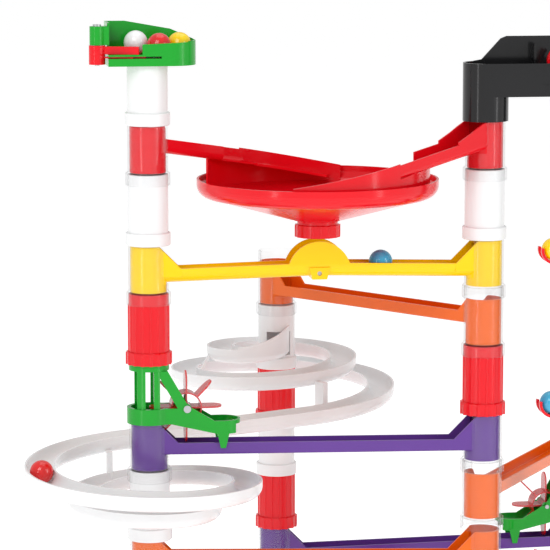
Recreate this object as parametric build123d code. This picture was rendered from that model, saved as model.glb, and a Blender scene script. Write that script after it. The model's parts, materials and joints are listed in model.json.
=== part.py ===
from build123d import *
import os
from math import asin, atan2, cos, degrees, hypot, radians, sin, sqrt, tan

os.makedirs("parts", exist_ok=True)

# ---------------------------------------------------------------- driving dimensions, mm
marble_d = 16.0
pitch = 40.0            # height that one tube adds to a tower
tower_gap = 228.0       # distance between neighbouring tower axes
levels = 11             # tubes in the tallest tower below the funnel's top

tube_r = 13.5           # outer radius of a tube
tube_wall = 1.2
collar_h = 8.6          # socket collar at the foot of each tube
collar_wall = 1.4
spigot_h = 7.4          # end of a tube that enters the collar above
top_spigot_h = 4.0      # shorter end under the start tray
fit = 0.1               # radial clearance of a spigot in its socket
lip = 1.3               # inward ledge that carries a ramp's cup
edge = 0.5              # chamfer of moulded edges
rib_count = 16

ramp_w = 19.5           # outside width of every trough
ramp_wall = 1.2
flat_ramp_h = 8.0
round_ramp_h = 9.6
cup_gap = 0.5           # cup top below the next collar
slot_gap = 0.2          # each side of a trough in its tube's slot
shoulder_x = 6.0        # where a ramp's shoulder starts to fall from its cup's top

foot_r = 35.0
foot_h = 4.0

funnel_r = 81.0
funnel_rim_h = 12.4
funnel_wall = 1.5
rim_round = 9.0         # how far the rim's rounded underside reaches in
rim_flat = 4.0          # upright part of the rim
guide_r = 75.2          # raised guide wall inside the funnel's rim
funnel_rim_above = 2.8  # rim above the funnel tubes' lower end
neck_drop = 26.0        # funnel neck below that end
outlet_h = 8.6
outlet_drop = 36.4
funnel_drop = 17.0      # entry trough's underside below its cup's top
funnel_slope = 0.168
guide_sweep = 50.0      # degrees of rim along which a guide runs out

wheel_r = 24.4
wheel_w = 14.0
wheel_ring_r = 10.5
blade_count = 8
blade_t = 1.2
axle_r = 1.5
axle_gap = 0.15
wheel_x = 24.4          # wheel axle from the tower axis
wheel_z = 10.2
arm_gap = 0.35          # bracket arms off the ramp between them
arm_t = 1.5

cheek_r = 21.5          # round cheeks over the double ramp's middle
gate_tilt = 22.0        # flip gate each side of upright
gate_pivot = 2.4        # flip gate's pin above the trough's underside

spiral_w = 20.0
spiral_h = 11.0
spiral_wall = 1.3
spiral_start_z = 9.2    # trough floor above its tube's lower end
spiral_end_z = 10.6
scoop_h = 27.0          # outer wall of the first turn where it leaves the tube
spiral_growth = [41.5, 49.0, 68.0, 77.0]    # upper spiral's reach from tower B at each half turn
spiral_ends = [74.0, 66.0, 45.7, 38.5]      # lower spiral's reach from tower A at each half turn
spiral_exit_r = 86.0    # last arc of the upper spiral
spiral_entry_r = 84.0   # first arc of the lower spiral

pulley_r = 14.0
belt_t = 1.6
belt_w = 10.0
belt_gap = 0.2
lift_x = 73.0           # pulleys from the lift tower's axis
idler_drop = 14.0       # upper pulley below the head's rim
drive_z = 30.0
carrier_pitch = 105.6
top_marble_drop = 127.5 # highest carried marble below the head's rim
head_r = 15.45
head_h = 39.0
head_wall = 1.5
head_len = 118.0

tray_x0 = -27.0         # start tray's gate end and round end from the tower's axis
tray_x1 = 32.2
tray_half = 17.0
tray_floor = 5.0
tray_wall = 1.6
gate_x = -33.7          # gate lever's pin from the tower's axis
gate_y = -8.0
slot_top = tray_floor + 1.4     # slot that the gate's tongue swings in
sill_top = tray_floor + 2.6     # bar between that slot and the gate's arm

box_half = 20.0         # motor box, half its length, and its depth behind the belt
box_y0 = 12.0
box_y1 = 44.0
box_top = 58.0
box_wall = 1.8

rest_gap = 0.15         # marble above the floor it lies on

tube_bore = tube_r - tube_wall
socket_r = tube_r + fit
collar_r = socket_r + collar_wall
lip_r = tube_bore - lip
cup_r = tube_bore - 0.2
cup_bore = cup_r - 1.2
cup_top = pitch - cup_gap
marble_r = marble_d / 2
arm_in = ramp_w / 2 + arm_gap
arm_out = arm_in + arm_t
back_gap = 0.35         # carrier's pad off the belt
pad_t = 1.3
carrier_x = pulley_r + belt_gap + belt_t + pad_t + marble_r     # carried marble from the pulley's axis
boot_start = tube_r + 8.5
box_x0 = lift_x - box_half
box_x1 = lift_x + box_half

tower_a = (0.0, 0.0)
tower_c = (tower_gap, 0.0)
tower_b = (tower_gap / 2, tower_gap * sqrt(3) / 2)
tower_d = (tower_gap * 1.5, tower_gap * sqrt(3) / 2)


def base(level):
    """Height of the lower end of the tube at this level, counted down from the funnel tubes."""
    return (levels - 1 - level) * pitch


def place(shape, tower, z=0.0, turn=0.0):
    return Pos(tower[0], tower[1], z) * Rot(0, 0, turn) * shape


def save(shape, name):
    export_step(shape, "parts/" + name + ".step")
    print(name, round(shape.volume))


# ---------------------------------------------------------------- simple solids
def ring(outer, inner, low, high):
    return Pos(0, 0, low) * extrude(Circle(outer) - Circle(inner), high - low)


def disc(radius, low, high):
    return Pos(0, 0, low) * extrude(Circle(radius), high - low)


def block(x0, x1, y0, y1, z0, z1):
    size = Box(x1 - x0, y1 - y0, z1 - z0)
    return Pos((x0 + x1) / 2, (y0 + y1) / 2, (z0 + z1) / 2) * size


def plate(points, y0, y1):
    """Upright plate: an outline in X and Z, between two depths."""
    face = Plane.XZ * make_face(Polyline(*points, close=True))
    return Pos(0, y1, 0) * extrude(face, y1 - y0)


def turned(points):
    """Solid of revolution about Z from an outline of (radius, height)."""
    return revolve(Plane.XZ * make_face(Polyline(*points, close=True)), Axis.Z)


def pin_y(radius, y0, y1, x=0.0, z=0.0):
    return Pos(x, y1, z) * extrude(Plane.XZ * Circle(radius), y1 - y0)


def around(face, radius, count):
    """Copies of a flat outline in a circle about the origin."""
    spots = [Rot(0, 0, n * 360 / count) * Pos(radius, 0) for n in range(count)]
    return Sketch() + [spot * face for spot in spots]


def pin_z(radius, z0, z1, x=0.0, y=0.0):
    return Pos(x, y, 0) * disc(radius, z0, z1)


# ---------------------------------------------------------------- tubes and feet
def tube(spigot=spigot_h, ledge=False, length=pitch):
    """Tower tube: socket collar below, spigot above."""
    seat = [(tube_bore, collar_h), (lip_r, collar_h), (lip_r, spigot_h)]
    if not ledge:
        seat = [(tube_bore, spigot_h)]
    top = length + spigot
    return turned([
        (socket_r, 0), (collar_r - edge, 0), (collar_r, edge), (collar_r, collar_h - edge),
        (collar_r - edge, collar_h), (tube_r, collar_h), (tube_r, top - edge),
        (tube_r - edge, top), (tube_bore, top), *seat, (socket_r, spigot_h)])


def ribbed_tube():
    """Tube with upright ribs on its body and a scalloped collar."""
    rib = extrude(around(Circle(0.9), tube_r - 0.4, rib_count), pitch - collar_h)
    body = tube() + Pos(0, 0, collar_h) * rib
    lobes = extrude(around(Circle(1.6), collar_r - 1.0, rib_count), collar_h - edge)
    return body + (lobes - disc(socket_r + 0.4, 0, collar_h))


def clear_tube(drop, turns):
    """Clear tube with a ledge for a ramp's cup and a slot for its trough, open at the top."""
    half = ramp_w / 2 + slot_gap
    low = cup_top - drop - 0.8
    body = tube(ledge=True)
    for turn in turns:
        body -= Rot(0, 0, turn) * block(0, collar_r, -half, half, low, pitch + spigot_h)
    return body


def foot():
    """Round foot: a wide disc with the tower's lowest tube rising from it."""
    top = pitch + spigot_h
    return turned([
        (0, 0), (foot_r - edge, 0), (foot_r, edge), (foot_r, foot_h - edge),
        (foot_r - edge, foot_h), (tube_r + 6, foot_h + 1), (tube_r, foot_h + 8),
        (tube_r, top - edge), (tube_r - edge, top), (tube_bore, top), (tube_bore, foot_h),
        (0, foot_h)])


# ---------------------------------------------------------------- ramps
def trough_face(width, height, corner, lift=0.0):
    """Upright face across a trough, rounded at its lower corners."""
    face = Pos(0, lift + height / 2) * Rectangle(width, height)
    low = face.vertices().sort_by(Axis.Y)[:2]
    return fillet(low, corner)


def trough_run(start, end, height, corner, hollow=False):
    """Trough, or the space inside it, with its underside from start to end, each (x, z)."""
    run = Vector(end[0] - start[0], 0, end[1] - start[1])
    face = trough_face(ramp_w, height, corner)
    if hollow:
        inner = ramp_w - 2 * ramp_wall
        face = trough_face(inner, pitch, max(corner - ramp_wall, 0.4), ramp_wall)
    return extrude(Pos(start[0], 0, start[1]) * (Plane.YZ * face), run.length, dir=run)


def gusset(length, under, height, flip):
    """Sloping shoulder from the cup's top down to the trough's wall, full width."""
    wall_top = under + height
    end = shoulder_x + cup_top - wall_top
    points = [(0, under + height / 2), (0, cup_top), (shoulder_x, cup_top),
              (end, wall_top), (end, under + height / 2)]
    if flip:
        points = [(length - x, z) for x, z in points]
    return plate(points, -ramp_w / 2, ramp_w / 2)


def cup():
    """Ring at the origin whose top falls towards +X with the shoulder's slope."""
    above = plate([(shoulder_x, cup_top), (tube_r, cup_top + shoulder_x - tube_r),
                   (tube_r, cup_top + 1), (shoulder_x, cup_top + 1)], -tube_r, tube_r)
    return ring(cup_r, cup_bore, collar_h, cup_top) - above


def cup_floor(under, slope):
    """Sloping floor in the cup of a ramp's high end, leading into the trough along +X."""
    back = under + cup_bore * tan(radians(18))
    front = under - slope * cup_bore
    slab = plate([(-cup_bore - 0.6, back), (0, under), (cup_bore + 0.6, front),
                  (cup_bore + 0.6, front + ramp_wall), (0, under + ramp_wall),
                  (-cup_bore - 0.6, back + ramp_wall)], -cup_r, cup_r)
    return slab & disc(cup_bore + 0.6, 0, pitch)


def straight_ramp(high_drop, low_drop, length=tower_gap, height=flat_ramp_h, corner=1.5):
    """Trough from a high cup at the origin to a low, open cup along +X."""
    high, low = cup_top - high_drop, cup_top - low_drop
    ends = ((0, high), (length, low))
    body = trough_run(*ends, height, corner)
    body += [gusset(length, high, height, False), gusset(length, low, height, True)]
    body -= [disc(cup_bore, 0, pitch), Pos(length, 0, 0) * disc(cup_bore, 0, pitch)]
    body += [cup(), Pos(length, 0, 0) * Rot(0, 0, 180) * cup()]
    body -= trough_run(*ends, height, corner, hollow=True)
    return body + cup_floor(high, (high - low) / length)


def double_ramp(end_drop, mid_drop, height=round_ramp_h, corner=8.6):
    """Trough that falls both ways from the middle, with cheeks and a lug for the flip gate."""
    end, mid = cup_top - end_drop, cup_top - mid_drop
    half = tower_gap / 2
    body = trough_run((0, end), (half, mid), height, corner)
    body += trough_run((half, mid), (tower_gap, end), height, corner)
    body += [gusset(tower_gap, end, height, False), gusset(tower_gap, end, height, True)]
    body -= [disc(cup_bore, 0, pitch), Pos(tower_gap, 0, 0) * disc(cup_bore, 0, pitch)]
    body += [cup(), Pos(tower_gap, 0, 0) * Rot(0, 0, 180) * cup()]
    pivot = mid + gate_pivot
    cheek = pin_y(cheek_r, -ramp_w / 2, ramp_w / 2, half, pivot)
    cheek &= block(0, tower_gap, -ramp_w, ramp_w, mid + height - 1.0, pitch * 2)
    lug = plate([(half - 7, pivot + 4), (half + 7, pivot + 4), (half + 5, pivot - 4),
                 (half - 5, pivot - 4)], -ramp_w / 2 - 0.6, ramp_w / 2 + 0.6)
    body += [cheek, lug]
    for tip in (-1, 1):
        ends = [(half - tip * 0.01, mid), (half + tip * half, end)]
        ends.sort()
        body -= trough_run(*ends, height, corner, hollow=True)
    body -= block(half - 5, half + 5, -ramp_w / 2 + ramp_wall, ramp_w / 2 - ramp_wall,
                  mid - 6, mid + 4)
    return body - pin_y(axle_r + axle_gap / 2, -ramp_w, ramp_w, half, pivot)


def flip_gate():
    """Rocker on the origin: an upright fin with two short wings, rest leaning to +X."""
    hub = pin_y(axle_r + 1.1, -4.2, 4.2)
    fin = block(-0.8, 0.8, -6.5, 6.5, 3.0, cheek_r - 2.4) + block(-0.8, 0.8, -4.2, 4.2, 0, 3.5)
    gate = hub + fin
    for side in (0, 180):
        wing = block(0, 11, -4.2, 4.2, 0.9, 2.1)
        gate += Rot(0, 0, side) * Rot(0, -gate_tilt, 0) * wing
    gate -= pin_y(axle_r + axle_gap, -9, 9)
    return Rot(0, gate_tilt, 0) * gate


# ---------------------------------------------------------------- funnel
def sector(outer, inner, start, end):
    """Flat part-ring between two angles, at z 0."""
    cut = 2 * outer
    mid = (start + end) / 2
    points = [(0, 0)] + [(cut * cos(radians(a)), cut * sin(radians(a))) for a in (start, mid, end)]
    return (Circle(outer) - Circle(inner)) & make_face(Polyline(*points, close=True))


def tilted(origin, heading, slope, low, high, reach=150.0):
    """Slab between two heights above a plane that falls by slope along a heading."""
    slab = Pos(0, 0, (low + high) / 2) * Box(2 * reach, 2 * reach, high - low)
    fall = degrees(atan2(slope, 1))
    return Pos(*origin) * Rot(0, 0, heading) * Rot(0, fall, 0) * slab


def funnel():
    """Double-entry funnel about the origin, z 0 at its tubes' lower end."""
    rim = funnel_rim_above
    low = rim - funnel_rim_h
    inner = funnel_r - funnel_wall
    bulge = [(funnel_r - rim_round + rim_round * cos(radians(a)),
              rim - rim_flat + (low - rim + rim_flat) * sin(radians(a))) for a in range(0, 90, 12)]
    dish = turned([
        (inner, rim), (funnel_r, rim), *bulge, (funnel_r - rim_round, low),
        (tube_r + 0.15, -neck_drop), (tube_r + 0.15, -outlet_drop + outlet_h),
        (collar_r, -outlet_drop + outlet_h - edge), (collar_r, -outlet_drop),
        (tube_bore, -outlet_drop), (tube_bore, -neck_drop + funnel_wall + 1),
        (funnel_r - rim_round, low + funnel_wall), (inner - 2.5, low + 4.5), (inner, low + 8.5)])
    ribs = extrude(around(Circle(0.9), collar_r - 0.4, rib_count), outlet_h - edge)
    body = dish + (Pos(0, 0, -outlet_drop) * ribs - disc(tube_r, -outlet_drop, 0))
    half = tower_gap / 2
    guide_in = guide_r - funnel_wall * 0.8
    mid_r = guide_in - (ramp_w / 2 - ramp_wall)
    lead = asin(mid_r / half)
    run = half * cos(lead)
    high = cup_top - funnel_drop
    slope = funnel_slope
    cross = sqrt(guide_in ** 2 - (mid_r - ramp_w / 2) ** 2)
    enter = 90 + degrees(lead)
    start = enter + degrees(atan2(cross, mid_r - ramp_w / 2))
    fall = run * slope
    arm_end = run - cross + 14.5
    for turn in (0, 180):
        arm = trough_run((0, high), (run, high - fall), round_ramp_h, 4.0)
        if turn:
            top = high + round_ramp_h
            arm += plate([(0, high + 5), (0, cup_top), (cup_bore, cup_top), (tube_r + 4, top + 4.4),
                          (tube_r + 11, top + 0.8), (tube_r + 22, top - 4), (tube_r + 22, high)],
                         -ramp_w / 2, ramp_w / 2)
        arm -= disc(cup_bore, 0, pitch)
        arm += cup() if turn == 0 else ring(cup_r, cup_bore, collar_h, cup_top)
        arm -= trough_run((0, high), (run + 1, high - fall - slope), round_ramp_h, 4.0, hollow=True)
        arm += cup_floor(high, slope)
        arm -= block(arm_end, run + 2, -ramp_w, -ramp_w / 2 + 4.0, 0, pitch)
        arm = Pos(-half, 0, 0) * Rot(0, 0, degrees(lead)) * arm
        foot_x = -half + run * cos(lead)
        foot_y = run * sin(lead)
        skirt = Pos(0, 0, low) * extrude(sector(guide_r, guide_in, enter, start), pitch)
        under = tilted((-half, 0, high), degrees(lead), slope, -90, ramp_wall / 2)
        body_arm = arm + (skirt & under)
        exit_angle = enter - guide_sweep
        heading = degrees(lead) - 25
        joint = (foot_x, foot_y, high - fall)
        guide_slope = slope * 1.15
        floor_ring = sector(guide_r, mid_r - ramp_w / 2 + 1.5, exit_angle, enter + 2)
        floor_slab = Pos(0, 0, low) * extrude(floor_ring, pitch)
        floor_slab &= tilted(joint, heading, guide_slope, 0, ramp_wall + 0.3)
        guide = Pos(0, 0, low) * extrude(sector(guide_r, guide_in, exit_angle - 6, enter + 2), pitch)
        guide &= tilted(joint, heading, guide_slope, -90, round_ramp_h)
        body_arm += [floor_slab, guide]
        body_arm -= cone_below(low)
        body += Rot(0, 0, turn) * body_arm
    return body - disc(tube_bore, -outlet_drop, low)


def cone_below(low):
    """Space under the funnel's inner surface, which keeps the guides from showing below."""
    return turned([(0, -neck_drop - 40), (funnel_r, -neck_drop - 40), (funnel_r, low + 0.5),
                   (funnel_r - rim_round, low + 0.8), (tube_bore, -neck_drop + funnel_wall),
                   (0, -neck_drop + funnel_wall)])


# ---------------------------------------------------------------- wheel bracket
def wheel_bracket():
    """Open tower section that holds a paddle wheel over the ramp along +X."""
    lower = turned([
        (socket_r, 0), (collar_r, 0), (collar_r, 10.7), (tube_bore, 10.7), (tube_bore, spigot_h),
        (socket_r, spigot_h)])
    upper = ring(tube_r, tube_bore, pitch - 4, pitch + spigot_h)
    body = lower + upper
    body -= block(2, collar_r + 1, -wheel_w / 2 - 1, wheel_w / 2 + 1, -1, 12)
    for side in (-1, 1):
        y0, y1 = sorted((side * 9.6, side * 12.6))
        posts = block(-9.0, -3.6, y0, y1, 9, pitch - 3) + block(2.0, 6.2, y0, y1, 9, pitch - 3)
        posts &= ring(tube_r, tube_bore - 1.6, 0, pitch)
        a0, a1 = sorted((side * arm_in, side * arm_out))
        strut = plate([(2, pitch - 4), (11.5, pitch - 4), (27, 9), (19, 9), (6.4, pitch - 9)], a0, a1)
        strut -= disc(tube_bore, 0, pitch)
        arm = plate([(3, 0.3), (14, 0), (45, -7.4), (61.4 - arm_out, -7.4), (61.4 - arm_out, 1.5),
                     (43, 1.5), (28, 10.7), (3, 10.7)], a0, a1)
        arm -= disc(tube_bore, -9, 12)
        arm -= disc(socket_r, -9, spigot_h)
        leg = plate([(44.5, -6), (53, -6), (50.4, -17), (47.0, -17)], a0, a1)
        body += [posts, strut, arm, leg]
    end = Pos(61.4 - arm_out, 0, -7.4) * extrude(Circle(arm_out) - Circle(arm_in), 8.9)
    end &= block(61.4 - arm_out, 62, -13, 13, -8, 2)
    end -= block(55, 62, -8.6, 8.6, -8, -1.2)
    body += end
    body -= pin_y(axle_r + axle_gap / 2, -13, 13, wheel_x, wheel_z)
    for side in (-1, 1):
        y0, y1 = sorted((side * (wheel_w / 2 + 0.6), side * arm_in))
        body += pin_y(axle_r + 1.6, y0, y1, wheel_x, wheel_z) - pin_y(
            axle_r + axle_gap / 2, -13, 13, wheel_x, wheel_z)
    return body


def paddle_wheel():
    """Wheel about the Y axis at the origin, with round-tipped blades standing on a ring."""
    half = wheel_w / 2
    ring_face = Plane.XZ * (Circle(wheel_ring_r) - Circle(wheel_ring_r - 1.0))
    hub_face = Plane.XZ * (Circle(axle_r + 1.6) - Circle(axle_r + axle_gap))
    body = Pos(0, half, 0) * extrude(ring_face, wheel_w)
    body += Pos(0, half, 0) * extrude(hub_face, wheel_w)
    blade = Plane.XY * (Pos((wheel_r - half) / 2 + wheel_ring_r / 2, 0)
                        * Rectangle(wheel_r - half - wheel_ring_r + 1, wheel_w)
                        + Pos(wheel_r - half, 0) * Circle(half))
    blade = Pos(0, 0, -blade_t / 2) * extrude(blade, blade_t)
    blade -= pin_y(wheel_ring_r - 0.5, -half - 1, half + 1)
    spoke = block(axle_r + 0.9, wheel_ring_r - 0.5, -half, half, -0.5, 0.5)
    for n in range(blade_count):
        body += Rot(0, n * 360 / blade_count, 0) * blade
        if n % 2 == 0:
            body += Rot(0, n * 360 / blade_count, 0) * spoke
    return body


def wheel_axle():
    head = pin_y(axle_r + 1.0, -arm_out - 1.0, -arm_out)
    return pin_y(axle_r, -arm_out - 0.5, arm_out + 0.5) + head


# ---------------------------------------------------------------- double spiral
def arc_points(centre, radius, start, sweep):
    end = start + sweep
    return (centre[0] + radius * cos(radians(end)), centre[1] + radius * sin(radians(end)))


def spiral_legs():
    """Legs of the spiral's centre line in plan: arcs as (centre, radius, start, sweep) or a line."""
    growth, ends = spiral_growth, spiral_ends
    exit_r, entry_r = spiral_exit_r, spiral_entry_r
    first = growth[0] / 2
    legs = [("arc", (tower_b[0] - first, tower_b[1]), first, 0.0, -180.0)]
    for n in range(3):
        r = (growth[n] + growth[n + 1]) / 2
        shift = (growth[n + 1] - growth[n]) / 2
        west = n % 2 == 0
        centre = (tower_b[0] + (shift if west else -shift), tower_b[1])
        legs.append(("arc", centre, r, 180.0 if west else 0.0, -180.0))
    exit_c = (tower_b[0] + growth[3] - exit_r, tower_b[1])
    entry_c = (tower_a[0] - ends[0] + entry_r, tower_a[1])
    gap = (entry_c[0] - exit_c[0], entry_c[1] - exit_c[1])
    dist = hypot(*gap)
    lean = degrees(asin((exit_r + entry_r) / dist))
    heading = degrees(atan2(gap[1], gap[0])) % 360 - lean
    legs.append(("arc", exit_c, exit_r, 0.0, heading - 270.0))
    line = (arc_points(exit_c, exit_r, 0.0, heading - 270.0),
            arc_points(entry_c, entry_r, 0.0, heading - 90.0))
    legs.append(("line", line[0], line[1]))
    legs.append(("arc", entry_c, entry_r, heading - 90.0, 180.0 - (heading - 90.0)))
    for n in range(3):
        r = (ends[n] + ends[n + 1]) / 2
        shift = (ends[n] - ends[n + 1]) / 2
        west = n % 2 == 0
        centre = (tower_a[0] + (-shift if west else shift), tower_a[1])
        legs.append(("arc", centre, r, 180.0 if west else 0.0, 180.0))
    last = ends[3] / 2
    legs.append(("arc", (tower_a[0] + last, tower_a[1]), last, 0.0, 180.0))
    return legs


def leg_length(leg):
    if leg[0] == "line":
        return hypot(leg[2][0] - leg[1][0], leg[2][1] - leg[1][1])
    return leg[2] * radians(abs(leg[4]))


def leg_edge(leg, z0, z1):
    """Space curve of a leg that falls from z0 to z1."""
    if leg[0] == "line":
        return Edge.make_line((*leg[1], z0), (*leg[2], z1))
    _, centre, radius, start, sweep = leg
    fall = z0 - z1
    end = start + sweep
    helix = Edge.make_helix(fall * 360 / abs(sweep), fall, radius, lefthand=sweep > 0)
    return Pos(centre[0], centre[1], z1) * Rot(0, 0, end) * helix


def leg_trough(leg, z0, z1):
    """One leg of the spiral trough, its underside from z0 to z1."""
    path = leg_edge(leg, z0, z1)
    face = trough_face(spiral_w, spiral_h, 7.0)
    face -= trough_face(spiral_w - 2 * spiral_wall, spiral_h, 5.8, spiral_wall)
    tangent = path % 0
    flat = Vector(tangent.X, tangent.Y, 0).normalized()
    side = Vector(0, 0, 1).cross(flat)
    plane = Plane(origin=path @ 0, x_dir=side, z_dir=tangent)
    return sweep(plane * face, Wire(path.edges()), is_frenet=leg[0] == "arc")


def spiral_turns():
    """Trough legs of the upper and the lower spiral, and the underside's height along them."""
    legs = spiral_legs()
    top, bottom = base(4) + spiral_start_z, base(6) + spiral_end_z
    fall = (top - bottom) / sum(leg_length(leg) for leg in legs)
    z = top
    upper, lower = [], []
    for leg in legs:
        drop = leg_length(leg) * fall
        if leg[0] == "line":
            mid = tuple((p + q) / 2 for p, q in zip(leg[1], leg[2]))
            upper.append(leg_trough(("line", leg[1], mid), z, z - drop / 2))
            lower.append(leg_trough(("line", mid, leg[2]), z - drop / 2, z - drop))
        elif lower:
            lower.append(leg_trough(leg, z, z - drop))
        else:
            upper.append(leg_trough(leg, z, z - drop))
        z -= drop
    return upper, lower


def spiral_height(leg_index, share=0.0):
    """Height of the trough's underside at a share of one leg."""
    legs = spiral_legs()
    lengths = [leg_length(leg) for leg in legs]
    top, bottom = base(4) + spiral_start_z, base(6) + spiral_end_z
    run = sum(lengths[:leg_index]) + share * lengths[leg_index]
    return top - (top - bottom) * run / sum(lengths)


def spiral(turns, tower, level, mouth_z, leaves, struts):
    """A spiral trough joined to the tower tube that it leaves or enters."""
    bore = place(disc(tube_bore, -1, pitch), tower, base(level))
    body = turns[0]
    for turn in turns[1:]:
        body += turn
    body -= bore
    half = spiral_w / 2 - spiral_wall
    mouth = block(-half, half, -collar_r - 1, 0, mouth_z + spiral_wall, mouth_z + 19)
    shell = tube() - Rot(0, 0, 0 if leaves else 180) * mouth
    if leaves:
        floor = tilted((0, 0, mouth_z + 4), -90, 0.3, -spiral_wall, 0, reach=30)
        shell += floor & disc(tube_bore + 0.4, 0, pitch)
        first = spiral_growth[0] / 2
        reach = first + spiral_w / 2
        wall = sector(reach, reach - spiral_wall, -112, -8)
        scoop = Pos(-first, 0, mouth_z + 4) * extrude(wall, pitch)
        scoop &= tilted((spiral_w / 2, 0, mouth_z + scoop_h), 225, 0.34, -90, 0)
        shell += scoop - disc(tube_bore, 0, 2 * pitch)
    body += place(shell, tower, base(level))
    for strut in struts:
        body += strut
    return body


# ---------------------------------------------------------------- start tray and gate
def tray_outline(inset):
    """Tray in plan: square at the gate end, round at the other."""
    half = tray_half - inset
    left = tray_x0 + inset
    straight = tray_x1 - tray_half
    box = Pos((left + straight) / 2, 0) * Rectangle(straight - left, 2 * half)
    return box + Pos(straight, 0) * Circle(half)


def start_tray():
    shell = extrude(tray_outline(0), 28) - Pos(0, 0, tray_floor) * extrude(tray_outline(tray_wall), 30)
    rim_front = plate([(-40, 13), (40, 16), (40, 40), (-40, 40)], -tray_half - 1, -tray_half + 6)
    rim_end = plate([(20, 15.6), (50, 17), (50, 40), (20, 40)], -tray_half - 1, 3)
    rim_back = plate([(-13.5, 28), (17, 22.5), (tray_x1, 16), (40, 16), (40, 40), (-13.5, 40)],
                     -4, tray_half + 1)
    front = (-tray_half - 1, -tray_half + tray_wall + 0.1)
    body = shell - rim_front - rim_end - rim_back
    body -= block(-30, -4.6, *front, sill_top, 40) + block(-30, 8, *front, tray_floor, slot_top)
    for low, high in ((tray_floor, slot_top), (sill_top, 40)):
        body -= block(-30, tray_x0 + tray_wall + 0.1, -tray_half - 1, gate_y + 0.5, low, high)
    body -= disc(socket_r, -1, top_spigot_h)
    body -= disc(tube_bore - 2, 0, 30)
    hinge = pin_z(4.9, 13.8, 26, gate_x, gate_y)
    hinge += block(gate_x, tray_x0 + 1, gate_y - 2.5, gate_y + 5, 13.8, 26)
    body += hinge
    return body - pin_z(axle_r + 0.1, 0, 40, gate_x, gate_y)


def gate_lever():
    """Red gate: knuckle, arm along the tray's front gap and a tongue under the first marble."""
    arm_turn = degrees(atan2(-tray_half + 1.2 - gate_y, -6 - gate_x))
    arm = Pos(gate_x, gate_y, 0) * Rot(0, 0, arm_turn) * block(0, 28, -1.5, 1.5, sill_top + 0.2, 12.9)
    tongue = Pos(gate_x, gate_y, 0) * Rot(0, 0, -8) * block(8, 32, -2, 16, 5.15, 6.15)
    knuckle = pin_z(5.4, 1, 13.5, gate_x, gate_y)
    lug = Pos(gate_x, gate_y, 0) * Rot(0, 0, arm_turn) * block(19, 21.5, -1.5, 1.5, 5.15, 9)
    body = arm + (tongue - block(-60, -24.9, -40, 40, -5, 30))
    link = Pos(gate_x, gate_y, 0) * Rot(0, 0, arm_turn) * block(0, 24, -1.5, 1.5, 5.15, 6.15)
    body += link
    body += knuckle
    return body - pin_z(axle_r + axle_gap, 0, 40, gate_x, gate_y)


def gate_pin():
    return pin_z(axle_r, 0.2, 26, gate_x, gate_y) + pin_z(axle_r + 1.2, 26, 27.2, gate_x, gate_y)


# ---------------------------------------------------------------- lift
def lift_head():
    """Black head about the lift tower's axis: a cup, a tray along +X and a hood behind."""
    floor_z = 16.7
    straight = head_len - head_r
    outline = Circle(head_r) + Pos(straight / 2, 0) * Rectangle(straight, 2 * head_r)
    inside = head_r - head_wall
    hollow = Circle(inside) + Pos(straight / 2, 0) * Rectangle(straight, 2 * inside)
    body = disc(head_r, 0, head_h)
    body += Pos(0, 0, floor_z) * extrude(outline, head_h - floor_z)
    hood = plate([(-6, head_h - 1), (-6, head_h), (0, head_h + 1), (13, head_h + 15),
                  (17, head_h + 16.6), (50, head_h + 16.6), (58, head_h + 8),
                  (straight, head_h + 6), (straight, head_h - 1)], inside, head_r)
    body += hood - disc(inside, 0, 80)
    body -= Pos(0, 0, floor_z + head_wall) * extrude(hollow, pitch)
    body -= disc(inside, floor_z - 3, pitch)
    body -= disc(tube_bore, -1, floor_z)
    body -= disc(socket_r, -1, spigot_h)
    shaft = block(36, straight - 2, -inside, inside, floor_z - 1, floor_z + 6)
    body -= shaft
    ramp = plate([(inside - 2, floor_z + 0.2), (36, floor_z + 4), (36, floor_z + 5.5),
                  (inside - 2, floor_z + 1.7)], -inside - 0.3, inside + 0.3)
    body += ramp - disc(inside, -1, 80)
    body -= block(36, 60, -head_r - 1, -head_r + 0.5, head_h - 14.4, head_h - 1.2)
    body += block(34, 35.5, 4.5, inside + 0.2, floor_z, head_h + 12)
    for side in (-1, 1):
        y0, y1 = sorted((side * 10.3, side * (inside + 0.2)))
        body += pin_y(6, y0, y1, lift_x, head_h - idler_drop)
    return body - pin_y(axle_r + 0.6, -20, 20, lift_x, head_h - idler_drop)


def idler_z():
    return base(-1) + head_h - idler_drop


def lift_column():
    """Two side plates and a web inside the belt loop, standing on the lift's base plate."""
    z0, z1 = foot_h, idler_z() + 9
    body = None
    for side in (-1, 1):
        y0, y1 = sorted((side * 8.0, side * 10.0))
        cheek = block(lift_x - 12, lift_x + 12, y0, y1, z0, z1)
        body = cheek if body is None else body + cheek
    web = block(lift_x - 4, lift_x + 4, -8.5, 8.5, drive_z + pulley_r + 6, idler_z() - pulley_r - 6)
    body += web
    body -= pin_y(axle_r + 0.6, -20, 20, lift_x, idler_z())
    return body - pin_y(axle_r + 1.4, -20, 20, lift_x, drive_z)


def pulley(bore):
    """Toothed pulley about the Y axis at the origin."""
    rim = pulley_r - 0.3
    body = pin_y(rim, -belt_w / 2, belt_w / 2)
    for side in (-1, 1):
        y0, y1 = sorted((side * belt_w / 2, side * (belt_w / 2 + 1.2)))
        body += pin_y(rim - 1, y0, y1)
    return body - pin_y(bore, -20, 20)


def belt():
    inner = pulley_r + belt_gap
    span = idler_z() - drive_z
    face = Circle(inner + belt_t) + Pos(0, span) * Circle(inner + belt_t)
    face += Pos(0, span / 2) * Rectangle(2 * (inner + belt_t), span)
    face -= Circle(inner)
    face -= Pos(0, span) * Circle(inner)
    face -= Pos(0, span / 2) * Rectangle(2 * inner, span)
    return Pos(lift_x, belt_w / 2, drive_z) * extrude(Plane.XZ * face, belt_w)


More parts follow.
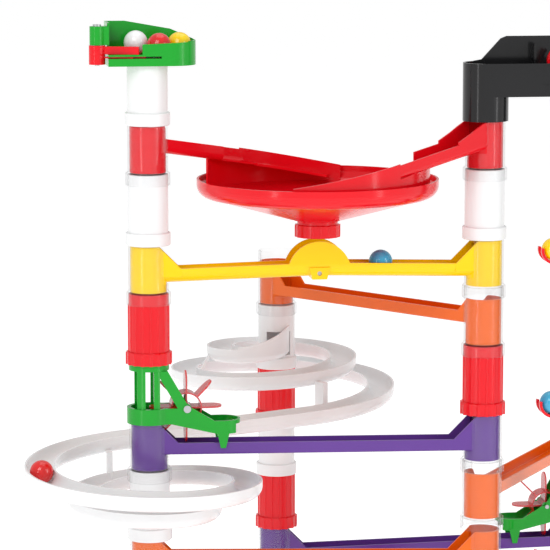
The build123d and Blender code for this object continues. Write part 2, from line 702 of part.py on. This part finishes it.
def carrier():
    """Forked hook under a marble at (-carrier_x, 0, 0), on the run left of the pulley's axis."""
    outer, inner = marble_r + 1.5, marble_r - 0.35
    arc = Circle(outer) - Circle(inner)
    arc &= make_face(Polyline((0, 0), (-30, 6), (-30, -30), (30, -30), (30, -1), close=True))
    prongs = None
    back = pulley_r + belt_gap + belt_t + back_gap
    for side in (-1, 1):
        y1 = max(side * 3.6, side * 6.2)
        hook = Pos(-carrier_x, y1, 0) * extrude(Plane.XZ * arc, 2.6)
        pad = block(-back - pad_t, -back, y1 - 2.6, y1, -12, 6)
        hook = (hook & block(-60, -back, -9, 9, -30, 30)) + pad
        prongs = hook if prongs is None else prongs + hook
    bar = pin_y(outer, -6.2, 6.2, -carrier_x) - pin_y(marble_r + 0.4, -9, 9, -carrier_x)
    bar &= block(-carrier_x - 3, -carrier_x + 3, -9, 9, -14, 0)
    return prongs + bar


def boot():
    """Chute on the floor from tower C's foot to the lift, with a tongue between the fork's prongs."""
    low = foot_h + 4
    side = plate([(boot_start, low - 1.6), (58, low - 2.6), (58, low + 12), (boot_start, low + 14)],
                 8.6, 10.0)
    body = side + Pos(0, -18.6, 0) * side
    floor = plate([(boot_start + fit, low), (40, low - 1), (40, low - 2.6),
                   (boot_start + fit, low - 1.6)], -9, 9)
    tongue = plate([(39, low - 1), (57, low - 1.8), (57, low - 3), (39, low - 2.6)], -2.6, 2.6)
    return body + floor + tongue


def motor_box():
    wall = box_wall
    body = block(box_x0, box_x1, box_y0, box_y1, foot_h, box_top)
    body -= block(box_x0 + wall, box_x1 - wall, box_y0 + wall, box_y1 + 1,
                  foot_h + wall, box_top - wall)
    body -= pin_y(axle_r + 1.4, box_y0 - 1, box_y0 + 5, lift_x, drive_z)
    return body - block(lift_x - 7, lift_x + 7, 26, 31, box_top - 5, box_top + 1)


def battery_cover():
    plug = block(box_x0 + 2.1, box_x1 - 2.1, box_y1 - 3, box_y1 + 0.2, foot_h + 2.1, box_top - 2.1)
    plug -= block(box_x0 + 3.6, box_x1 - 3.6, box_y1 - 4, box_y1, foot_h + 3.6, box_top - 3.6)
    return plug + block(box_x0, box_x1, box_y1 + 0.1, box_y1 + 1.7, foot_h, box_top)


def switch_slider():
    """Slide switch in the box's top, at its off end."""
    knob = block(lift_x - 6.6, lift_x - 0.6, 26.4, 30.6, box_top - 4, box_top + 2.5)
    return knob + block(lift_x - 8, lift_x + 1.0, 24.5, 32.5, box_top - 4.6, box_top - 2.2)


def marble():
    return Sphere(marble_r)


# ---------------------------------------------------------------- towers, from the top level down
def stack(shapes_at):
    """One group of separate solids from (shape, tower, level) entries."""
    return Compound([place(shape, tower, base(level)) for shape, tower, level in shapes_at])


purple = {"high_drop": 20.4, "low_drop": 23.8}
orange = {"high_drop": 17.2, "low_drop": 24.2}
yellow = {"end_drop": 25.0, "mid_drop": 22.2}
funnel_turn = degrees(asin((guide_r - 1.2 - ramp_w / 2 + ramp_wall) / (tower_gap / 2)))
to_c, to_b, to_d = 0.0, 120.0, 60.0

white = tube()
red = ribbed_tube()
plain_foot = foot()
save(place(tube(spigot=top_spigot_h), tower_a, base(-1)), "white_tube_a_top")
save(stack([(white, tower_a, 1), (white, tower_a, 9)]), "white_tubes_a")
save(stack([(red, tower_a, 3), (red, tower_a, 8)]), "red_tubes_a")
save(stack([(clear_tube(funnel_drop + 3, [funnel_turn]), tower_a, 0),
            (clear_tube(yellow["end_drop"], [to_c]), tower_a, 2),
            (clear_tube(purple["high_drop"], [to_c]), tower_a, 5),
            (clear_tube(orange["high_drop"], [to_c]), tower_a, 7)]), "clear_tubes_a")
save(place(plain_foot, tower_a), "foot_a")

save(place(white, tower_c, base(1)), "white_tube_c")
save(stack([(red, tower_c, 4), (red, tower_c, 8)]), "red_tubes_c")
save(stack([(clear_tube(funnel_drop + 3, [funnel_turn + 180]), tower_c, 0),
            (clear_tube(yellow["end_drop"], [180]), tower_c, 2),
            (clear_tube(orange["high_drop"], [to_b]), tower_c, 3),
            (clear_tube(purple["low_drop"], [180]), tower_c, 5),
            (clear_tube(orange["high_drop"], [to_d]), tower_c, 6),
            (clear_tube(orange["low_drop"], [180]), tower_c, 7),
            (clear_tube(orange["low_drop"], [to_b]), tower_c, 9)]), "clear_tubes_c")
outlet = block(0, foot_r, -marble_r - 0.6, marble_r + 0.6, foot_h, foot_h + marble_d + 5)
sill = plate([(-tube_r, foot_h), (boot_start, foot_h), (boot_start, foot_h + 4.2),
              (-tube_r, foot_h + 5.2)], -tube_r, tube_r)
sill &= disc(tube_r - 0.4, 0, pitch) + outlet
save(place(plain_foot - outlet + sill, tower_c), "foot_c")

save(stack([(red, tower_b, 5), (red, tower_b, 7)]), "red_tubes_b")
save(place(white, tower_b, base(6)), "white_tube_b")
save(stack([(clear_tube(orange["low_drop"], [-60]), tower_b, 3),
            (clear_tube(purple["low_drop"], [0]), tower_b, 8),
            (clear_tube(orange["high_drop"], [-60]), tower_b, 9)]), "clear_tubes_b")
save(place(plain_foot, tower_b), "foot_b")

save(stack([(clear_tube(orange["low_drop"], [240]), tower_d, 6),
            (clear_tube(purple["high_drop"], [180]), tower_d, 8)]), "clear_tubes_d")
save(place(white, tower_d, base(9)), "white_tube_d")
save(place(plain_foot, tower_d), "foot_d")

# ramps and funnel
save(place(double_ramp(**yellow), tower_a, base(2)), "yellow_double_ramp")
for name, tower, level, turn, drops in (
        ("purple_ramp_front", tower_a, 5, 0, purple), ("purple_ramp_rear", tower_d, 8, 180, purple),
        ("orange_ramp_upper", tower_c, 3, to_b, orange), ("orange_ramp_right", tower_c, 6, to_d, orange),
        ("orange_ramp_lower", tower_a, 7, 0, orange), ("return_ramp", tower_b, 9, -60, orange)):
    save(place(straight_ramp(**drops), tower, base(level), turn), name)
funnel_centre = (tower_gap / 2, 0.0)
save(place(funnel(), funnel_centre, base(0)), "funnel")

# flip gate under the funnel
pivot = (funnel_centre[0], 0.0, base(2) + cup_top - yellow["mid_drop"] + gate_pivot)
save(Pos(*pivot) * flip_gate(), "flip_gate")
save(Pos(*pivot) * pin_y(axle_r, -ramp_w / 2 + 0.9, ramp_w / 2 - 0.9), "flip_pin")

# wheel sections
axles = []
for name, tower, level, turn in (("a", tower_a, 4, 0), ("d", tower_d, 7, 180)):
    save(place(wheel_bracket(), tower, base(level), turn), "wheel_bracket_" + name)
    wheel_spot = Pos(tower[0], tower[1], base(level)) * Rot(0, 0, turn) * Pos(wheel_x, 0, wheel_z)
    save(wheel_spot * paddle_wheel(), "paddle_wheel_" + name)
    axles.append(wheel_spot * wheel_axle())
save(Compound(axles), "wheel_axles")

# double spiral with the struts that tie its turns
upper, lower = spiral_turns()
bx, by = tower_b
front_turn = 63.0       # degrees round from the east at which the front strut stands
exit_sweep = abs(spiral_legs()[4][4])
inner, outer = spiral_height(1), spiral_height(3)
brace = plate([(-50.4, inner + 5), (-50.4, inner + 1), (-59.0, outer + 3), (-59.0, outer + 7)], -1.5, 1.5)
post = block(67.2, 77.4, -2.0, 2.0, spiral_height(4, front_turn / exit_sweep) + 3,
             spiral_height(2, front_turn / 180) + 4)
upper_struts = [Pos(bx, by, 0) * brace, Pos(bx - 9.2, by, 0) * Rot(0, 0, -front_turn) * post]
lower_struts = [block(-24.2, -20.0, 56.5, 68.8, spiral_height(8, 0.6) + 2,
                      spiral_height(6, 0.3) + 4)]
save(spiral(upper, tower_b, 4, spiral_start_z, True, upper_struts), "spiral_upper")
save(spiral(lower, tower_a, 6, spiral_end_z, False, lower_struts), "spiral_lower")

# start tray
save(place(start_tray(), tower_a, base(-2)), "start_tray")
save(place(gate_lever(), tower_a, base(-2)), "gate_lever")
save(place(gate_pin(), tower_a, base(-2)), "gate_pin")

# lift beyond tower C
cx = tower_c[0]
save(place(lift_head(), tower_c, base(-1)), "lift_head")
save(place(lift_column(), tower_c), "lift_column")
save(place(belt(), tower_c), "belt")
save(Pos(cx + lift_x, 0, drive_z) * pulley(axle_r), "drive_pulley")
save(Pos(cx + lift_x, 0, idler_z()) * pulley(axle_r + axle_gap), "idler_pulley")
save(Pos(cx + lift_x, 0, idler_z()) * pin_y(axle_r, -head_r + 0.2, head_r - 0.2), "idler_axle")
save(Pos(cx + lift_x, 0, drive_z) * pin_y(axle_r, -12, 16.8), "drive_shaft")
first = base(-1) + head_h - top_marble_drop
rising = [Pos(cx + lift_x, 0, first - n * carrier_pitch) * carrier() for n in range(3)]
falling = [Pos(cx + lift_x, 0, first + 46 - n * carrier_pitch) * Rot(0, 180, 0) * carrier()
           for n in range(4)]
save(Compound(rising), "carriers_rising")
save(Compound(falling), "carriers_falling")
save(Pos(cx + lift_x, 0, idler_z()) * Rot(0, 35, 0) * carrier(), "carrier_top")
save(place(boot(), tower_c), "boot_chute")
save(place(block(lift_x - 26, lift_x + 26, -20, 48, 0, foot_h), tower_c), "lift_base")
save(place(motor_box(), tower_c), "motor_box")
save(place(battery_cover(), tower_c), "battery_cover")
save(place(switch_slider(), tower_c), "switch_slider")
save(place(pin_y(10, 17, 40, lift_x, drive_z), tower_c), "motor")
cell = Rot(0, 90, 0) * Cylinder(6.8, 30)
cells = [Pos(cx + lift_x, y, foot_h + 9) * cell for y in (21.2, 35.4)]
save(Compound(cells), "batteries")

# marbles
tray_z = base(-2) + tray_floor + marble_r + rest_gap
white_x, white_y = -7.4, 0.9
red_x, red_y = white_x + 0.925 * marble_d, white_y - 0.444 * marble_d
yellow_x, yellow_y = red_x + 0.8875 * marble_d, red_y + 0.5375 * marble_d
spots = {"marble_white": (white_x, white_y, tray_z + 1.4),
         "marble_red_tray": (red_x, red_y, tray_z),
         "marble_yellow_tray": (yellow_x, yellow_y, tray_z)}
along = 43.0
ramp_fall = (yellow["end_drop"] - yellow["mid_drop"]) * along / funnel_centre[0]
ramp_z = base(2) + cup_top - yellow["mid_drop"] - ramp_fall + ramp_wall + marble_r + 2 * rest_gap
spots["marble_blue_ramp"] = (funnel_centre[0] + along, 0.0, ramp_z)
spiral_z = spiral_height(7, 0.03) + spiral_wall + marble_r + 2 * rest_gap
spots["marble_red_spiral"] = (-73.0, -7.0, spiral_z)
for n, colour in enumerate(("yellow", "blue")):
    spots["marble_" + colour + "_lift"] = (cx + lift_x - carrier_x, 0.0, first - n * carrier_pitch)
for name, spot in spots.items():
    save(Pos(*spot) * marble(), name)
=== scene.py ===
"""Looks for a toy marble run: moulded plastic towers, ramps, funnel, spiral and lift, and marbles."""

import json
import math

import bpy
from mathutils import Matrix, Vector


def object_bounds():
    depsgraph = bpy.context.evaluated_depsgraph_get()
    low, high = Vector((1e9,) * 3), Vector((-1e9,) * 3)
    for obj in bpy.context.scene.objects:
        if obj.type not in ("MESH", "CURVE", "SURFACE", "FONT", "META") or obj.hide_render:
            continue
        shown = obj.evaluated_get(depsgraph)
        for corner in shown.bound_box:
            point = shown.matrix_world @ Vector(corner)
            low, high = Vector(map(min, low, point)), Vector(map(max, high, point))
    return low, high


# Paint-chip colours in linear light.
RED = (0.78, 0.004, 0.012, 1)
YELLOW = (0.98, 0.66, 0.0, 1)
ORANGE = (0.88, 0.145, 0.006, 1)
PURPLE = (0.125, 0.044, 0.29, 1)
GREEN = (0.006, 0.36, 0.022, 1)
BLACK = (0.012, 0.012, 0.013, 1)
WHITE = (0.86, 0.865, 0.87, 1)
# Grey of the clear plastic is painted shade. It stands in for the dark edges and faint grey veil of a
# clear tube, not for a tint of the plastic.
CLEAR_EDGE_SHADE_GREY = (0.36, 0.37, 0.38, 1)
CLEAR_RED = (0.7, 0.01, 0.016, 1)
STEEL = (0.55, 0.55, 0.57, 1)
RUBBER = (0.022, 0.022, 0.023, 1)
MARBLE_RED = (0.75, 0.015, 0.015, 1)
MARBLE_YELLOW = (1.0, 0.7, 0.0, 1)
MARBLE_BLUE = (0.045, 0.42, 0.66, 1)
MARBLE_WHITE = (0.9, 0.9, 0.9, 1)
RED_VANE = (0.45, 0.0, 0.0, 1)
YELLOW_VANE = (0.95, 0.42, 0.0, 1)
BLUE_VANE = (0.01, 0.17, 0.45, 1)
WHITE_VANE = (0.62, 0.66, 0.7, 1)
PAPER = (0.93, 0.93, 0.93, 1)

# Depth of the moulded surface's relief and of the turned rings, metres.
PEEL_DEPTH = 0.00008
RING_DEPTH = 0.00005
BELT_RIB_DEPTH = 0.0005

# Studio.
FLOOR_SIZE = 30
FLOOR_GAP = 0.0006
FLOOR_GLOW = 0.42
SURROUND = 0.62
STRIP_SIZE = (0.08, 1.4)

# Camera: place in metres, and the turn and drop of its aim in degrees.
EYE_PLACE = (-0.1948, -1.9923, 0.6328)
EYE_TURN = 8
EYE_DROP = 8.34
LENS = 198.5
SENSOR = 36


# ---------------------------------------------------------------- shader groups
def new_group(name, inputs, outputs):
    """Node group with named sockets: (name, kind, default) going in and (name, kind) coming out."""
    group = bpy.data.node_groups.new(name, "ShaderNodeTree")
    for label, kind, default in inputs:
        socket = group.interface.new_socket(label, in_out="INPUT", socket_type=kind)
        socket.default_value = default
    for label, kind in outputs:
        group.interface.new_socket(label, in_out="OUTPUT", socket_type=kind)
    nodes = group.nodes
    return group, nodes.new("NodeGroupInput"), nodes.new("NodeGroupOutput")


def maths(group, operation, first, second, clamp=False):
    """A Math node; each operand is a socket or a number."""
    node = group.nodes.new("ShaderNodeMath")
    node.operation = operation
    node.use_clamp = clamp
    for socket, value in zip(node.inputs, (first, second)):
        if isinstance(value, (int, float)):
            socket.default_value = value
        else:
            group.links.new(value, socket)
    return node.outputs[0]


def noise(group, place, scale, detail=2.0, roughness=0.5):
    node = group.nodes.new("ShaderNodeTexNoise")
    node.inputs["Detail"].default_value = detail
    node.inputs["Roughness"].default_value = roughness
    group.links.new(place, node.inputs["Vector"])
    if isinstance(scale, (int, float)):
        node.inputs["Scale"].default_value = scale
    else:
        group.links.new(scale, node.inputs["Scale"])
    return node.outputs["Fac"]


def moulded_skin_group():
    """Injection moulded plastic: slow colour drift, handling haze and fine orange peel."""
    group, given, out = new_group(
        "moulded_skin",
        [("Colour", "NodeSocketColor", (0.8, 0.8, 0.8, 1)), ("Drift", "NodeSocketFloat", 0.08),
         ("Roughness", "NodeSocketFloat", 0.2), ("Haze", "NodeSocketFloat", 0.08),
         ("Peel scale", "NodeSocketFloat", 900.0)],
        [("Colour", "NodeSocketColor"), ("Roughness", "NodeSocketFloat"),
         ("Height", "NodeSocketFloat")])
    place = group.nodes.new("ShaderNodeTexCoord").outputs["Object"]
    flow = noise(group, place, 22.0, 3.0)
    handling = noise(group, place, 130.0, 4.0, 0.6)
    peel = noise(group, place, given.outputs["Peel scale"], 1.0)
    sink = noise(group, place, 60.0, 1.0)
    swing = maths(group, "SUBTRACT", flow, 0.5)
    shade = maths(group, "MULTIPLY_ADD", swing, given.outputs["Drift"])
    shade.node.inputs[2].default_value = 1.0
    tint = group.nodes.new("ShaderNodeMix")
    tint.data_type = "RGBA"
    tint.blend_type = "MULTIPLY"
    tint.inputs["Factor"].default_value = 1.0
    grey = group.nodes.new("ShaderNodeCombineColor")
    for channel in grey.inputs:
        group.links.new(shade, channel)
    group.links.new(given.outputs["Colour"], tint.inputs[6])
    group.links.new(grey.outputs[0], tint.inputs[7])
    group.links.new(tint.outputs[2], out.inputs["Colour"])
    handled = maths(group, "SUBTRACT", handling, 0.42, True)
    haze = maths(group, "MULTIPLY", handled, given.outputs["Haze"])
    group.links.new(maths(group, "ADD", given.outputs["Roughness"], haze), out.inputs["Roughness"])
    height = maths(group, "ADD", maths(group, "MULTIPLY", peel, 0.25), sink)
    group.links.new(height, out.inputs["Height"])
    return group


def swirl_group():
    """Glass marble: a soft vane of deeper colour wound through the ball."""
    group, given, out = new_group(
        "marble_swirl",
        [("Colour", "NodeSocketColor", (0.8, 0.8, 0.8, 1)),
         ("Vane", "NodeSocketColor", (0.9, 0.9, 0.9, 1)),
         ("Amount", "NodeSocketFloat", 0.2)],
        [("Colour", "NodeSocketColor"), ("Roughness", "NodeSocketFloat")])
    place = group.nodes.new("ShaderNodeTexCoord").outputs["Object"]
    wave = group.nodes.new("ShaderNodeTexWave")
    wave.inputs["Scale"].default_value = 38.0
    wave.inputs["Distortion"].default_value = 6.0
    wave.inputs["Detail"].default_value = 2.0
    group.links.new(place, wave.inputs["Vector"])
    mix = group.nodes.new("ShaderNodeMix")
    mix.data_type = "RGBA"
    share = maths(group, "MULTIPLY", wave.outputs["Fac"], given.outputs["Amount"])
    group.links.new(share, mix.inputs["Factor"])
    group.links.new(given.outputs["Colour"], mix.inputs[6])
    group.links.new(given.outputs["Vane"], mix.inputs[7])
    group.links.new(mix.outputs[2], out.inputs["Colour"])
    scuffs = noise(group, place, 420.0, 3.0)
    group.links.new(maths(group, "MULTIPLY", scuffs, 0.09), out.inputs["Roughness"])
    return group


def turned_metal_group():
    """Drawn steel rod: fine rings round its length."""
    group, given, out = new_group(
        "turned_metal",
        [("Roughness", "NodeSocketFloat", 0.3)],
        [("Roughness", "NodeSocketFloat"), ("Height", "NodeSocketFloat")])
    place = group.nodes.new("ShaderNodeTexCoord").outputs["Object"]
    wave = group.nodes.new("ShaderNodeTexWave")
    wave.bands_direction = "Y"
    wave.inputs["Scale"].default_value = 900.0
    wave.inputs["Distortion"].default_value = 1.5
    group.links.new(place, wave.inputs["Vector"])
    group.links.new(wave.outputs["Fac"], out.inputs["Height"])
    rough = maths(group, "MULTIPLY_ADD", noise(group, place, 500.0), 0.2)
    group.links.new(given.outputs["Roughness"], rough.node.inputs[2])
    group.links.new(rough, out.inputs["Roughness"])
    return group


# ---------------------------------------------------------------- materials
def blank_material(name):
    material = bpy.data.materials.new(name)
    material.use_nodes = True
    return material, material.node_tree, material.node_tree.nodes["Principled BSDF"]


def placed(tree, group, **values):
    """A group in a material's tree, with its own values."""
    node = tree.nodes.new("ShaderNodeGroup")
    node.node_tree = group
    for label, value in values.items():
        node.inputs[label.replace("_", " ")].default_value = value
    return node


def bumped(tree, shader, height, strength, distance):
    bump = tree.nodes.new("ShaderNodeBump")
    bump.inputs["Strength"].default_value = strength
    bump.inputs["Distance"].default_value = distance
    tree.links.new(height, bump.inputs["Height"])
    tree.links.new(bump.outputs["Normal"], shader.inputs["Normal"])


def glossy_plastic(name, skin, colour, roughness=0.16, drift=0.1):
    """Bright opaque styrene, its reflections kept low so that the colour stays deep."""
    material, tree, shader = blank_material(name)
    node = placed(tree, skin, Colour=colour, Roughness=roughness, Drift=drift)
    tree.links.new(node.outputs["Colour"], shader.inputs["Base Color"])
    tree.links.new(node.outputs["Roughness"], shader.inputs["Roughness"])
    bumped(tree, shader, node.outputs["Height"], 0.25, PEEL_DEPTH)
    shader.inputs["IOR"].default_value = 1.54
    shader.inputs["Specular IOR Level"].default_value = 0.3
    return material


def clear_plastic(name, skin, colour, face_on_alpha, edge_alpha, index, roughness=0.04):
    """Clear styrene wall: nearly unseen face on, building up to a bright rim seen edge on. For the
    clear slot, the grey base colour of that rim is painted shade along the tube's edges.
    """
    material, tree, shader = blank_material(name)
    node = placed(tree, skin, Colour=colour, Roughness=roughness, Drift=0.04)
    tree.links.new(node.outputs["Colour"], shader.inputs["Base Color"])
    tree.links.new(node.outputs["Roughness"], shader.inputs["Roughness"])
    bumped(tree, shader, node.outputs["Height"], 0.2, PEEL_DEPTH)
    # Alpha rises towards the edges, so a grey base colour paints shade along the wall's rims.
    facing = tree.nodes.new("ShaderNodeLayerWeight")
    facing.inputs["Blend"].default_value = 0.35
    edge_alpha_ramp = tree.nodes.new("ShaderNodeMapRange")
    edge_alpha_ramp.inputs["From Min"].default_value = 0.3
    edge_alpha_ramp.inputs["To Min"].default_value = face_on_alpha
    edge_alpha_ramp.inputs["To Max"].default_value = edge_alpha
    tree.links.new(facing.outputs["Facing"], edge_alpha_ramp.inputs["Value"])
    tree.links.new(edge_alpha_ramp.outputs["Result"], shader.inputs["Alpha"])
    shader.inputs["IOR"].default_value = index
    return material


def marble_glass(name, swirl, colour, vane, amount):
    """Bright glass ball with a vane of a second colour in it."""
    material, tree, shader = blank_material(name)
    node = placed(tree, swirl, Colour=colour, Vane=vane, Amount=amount)
    tree.links.new(node.outputs["Colour"], shader.inputs["Base Color"])
    tree.links.new(node.outputs["Roughness"], shader.inputs["Roughness"])
    shader.inputs["Coat Weight"].default_value = 0.3
    shader.inputs["Coat Roughness"].default_value = 0.02
    return material


def steel(name, rings):
    """Bare steel rod."""
    material, tree, shader = blank_material(name)
    node = placed(tree, rings, Roughness=0.28)
    tree.links.new(node.outputs["Roughness"], shader.inputs["Roughness"])
    bumped(tree, shader, node.outputs["Height"], 0.2, RING_DEPTH)
    shader.inputs["Base Color"].default_value = STEEL
    shader.inputs["Metallic"].default_value = 1.0
    return material


def belt_rubber(name, skin):
    """Matte rubber with fine cross ribs that grip the pulleys."""
    material, tree, shader = blank_material(name)
    node = placed(tree, skin, Colour=RUBBER, Roughness=0.6, Haze=0.3, Drift=0.3)
    tree.links.new(node.outputs["Colour"], shader.inputs["Base Color"])
    tree.links.new(node.outputs["Roughness"], shader.inputs["Roughness"])
    place = tree.nodes.new("ShaderNodeTexCoord")
    ribs = tree.nodes.new("ShaderNodeTexWave")
    ribs.bands_direction = "Z"
    ribs.inputs["Scale"].default_value = 100.0
    tree.links.new(place.outputs["Object"], ribs.inputs["Vector"])
    bumped(tree, shader, ribs.outputs["Fac"], 0.8, BELT_RIB_DEPTH)
    return material


def all_materials():
    """Material for each finish, by the record's slot names."""
    skin = moulded_skin_group()
    swirl = swirl_group()
    rings = turned_metal_group()
    opaque = {"red_plastic": RED, "yellow_plastic": YELLOW, "orange_plastic": ORANGE,
              "purple_plastic": PURPLE, "green_plastic": GREEN}
    made = {slot: glossy_plastic(slot, skin, colour) for slot, colour in opaque.items()}
    made["white_plastic"] = glossy_plastic("white_plastic", skin, WHITE, 0.22, 0.04)
    made["black_plastic"] = glossy_plastic("black_plastic", skin, BLACK, 0.14, 0.3)
    # The grey colour here is painted shade along the clear tubes' edges.
    made["clear_plastic"] = clear_plastic("clear_plastic", skin, CLEAR_EDGE_SHADE_GREY, 0.04, 0.45, 3.5)
    made["clear_red_plastic"] = clear_plastic("clear_red_plastic", skin, CLEAR_RED, 0.72, 0.95, 1.6)
    made["steel"] = steel("steel", rings)
    made["belt_rubber"] = belt_rubber("belt_rubber", skin)
    marbles = {"red_marble": (MARBLE_RED, RED_VANE, 0.2),
               "yellow_marble": (MARBLE_YELLOW, YELLOW_VANE, 0.2),
               "blue_marble": (MARBLE_BLUE, BLUE_VANE, 0.22),
               "white_marble": (MARBLE_WHITE, WHITE_VANE, 0.22)}
    for slot, look in marbles.items():
        made[slot] = marble_glass(slot, swirl, *look)
    return made


def dress(frame):
    """Each CAD node takes the material of its slot in the record."""
    materials = all_materials()
    slot_of = {row["node"]: row["material_slot"] for row in frame["record"]["subparts"]}
    for name, node in frame["nodes"].items():
        node.data.materials.clear()
        node.data.materials.append(materials[slot_of[name]])


# ---------------------------------------------------------------- studio
def soft_light(name, place, aim, width, height, power):
    """Rectangular area light pointed at a spot on the object."""
    lamp = bpy.data.lights.new(name, "AREA")
    lamp.shape = "RECTANGLE"
    lamp.size = width
    lamp.size_y = height
    lamp.energy = power
    holder = bpy.data.objects.new(name, lamp)
    bpy.context.scene.collection.objects.link(holder)
    holder.location = place
    holder.rotation_euler = (Vector(aim) - Vector(place)).to_track_quat("-Z", "Y").to_euler()


def studio(low, high):
    """Pale floor under the object, white surround, three broad lights and two tall strips."""
    bpy.ops.mesh.primitive_plane_add(size=FLOOR_SIZE, location=(0, 0, low.z - FLOOR_GAP))
    floor = bpy.context.object
    floor.name = "floor"
    material, tree, shader = blank_material("floor_paper")
    shader.inputs["Base Color"].default_value = PAPER
    shader.inputs["Roughness"].default_value = 0.9
    shader.inputs["Emission Color"].default_value = (1, 1, 1, 1)
    shader.inputs["Emission Strength"].default_value = FLOOR_GLOW
    floor.data.materials.append(material)
    middle = (low + high) / 2
    soft_light("key_light", (-0.7, -1.3, 1.5), middle, 0.9, 0.9, 9)
    soft_light("fill_light", (1.5, -1.2, 0.8), middle, 1.0, 1.0, 4)
    soft_light("top_light", (0.2, 0.3, 1.9), middle, 1.2, 1.2, 5)
    soft_light("left_strip", (-0.9, -0.9, 0.4), middle, *STRIP_SIZE, 2)
    soft_light("right_strip", (1.2, -0.9, 0.4), middle, *STRIP_SIZE, 2)
    world = bpy.data.worlds.new("white_surround")
    world.use_nodes = True
    world.node_tree.nodes["Background"].inputs["Color"].default_value = (1, 1, 1, 1)
    world.node_tree.nodes["Background"].inputs["Strength"].default_value = SURROUND
    bpy.context.scene.world = world
    bpy.context.scene.view_settings.view_transform = "Standard"


def camera():
    """Long lens a couple of metres back, a little above the towers and to their left."""
    eye = bpy.data.cameras.new("camera")
    eye.lens = LENS
    eye.sensor_width = SENSOR
    eye.clip_end = 60
    holder = bpy.data.objects.new("camera", eye)
    bpy.context.scene.collection.objects.link(holder)
    holder.location = EYE_PLACE
    turn, drop = math.radians(EYE_TURN), math.radians(EYE_DROP)
    level = math.cos(drop)
    ahead = Vector((math.sin(turn) * level, math.cos(turn) * level, -math.sin(drop)))
    holder.rotation_euler = ahead.to_track_quat("-Z", "Y").to_euler()
    bpy.context.scene.camera = holder


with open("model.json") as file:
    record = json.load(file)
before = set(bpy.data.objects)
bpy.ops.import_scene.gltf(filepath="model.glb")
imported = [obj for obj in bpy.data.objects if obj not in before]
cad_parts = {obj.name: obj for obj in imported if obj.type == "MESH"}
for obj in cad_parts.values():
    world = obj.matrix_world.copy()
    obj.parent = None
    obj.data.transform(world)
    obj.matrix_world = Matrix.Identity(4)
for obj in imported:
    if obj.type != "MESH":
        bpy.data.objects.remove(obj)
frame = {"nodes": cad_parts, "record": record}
cad_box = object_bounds()
dress(frame)
studio(*cad_box)
camera()
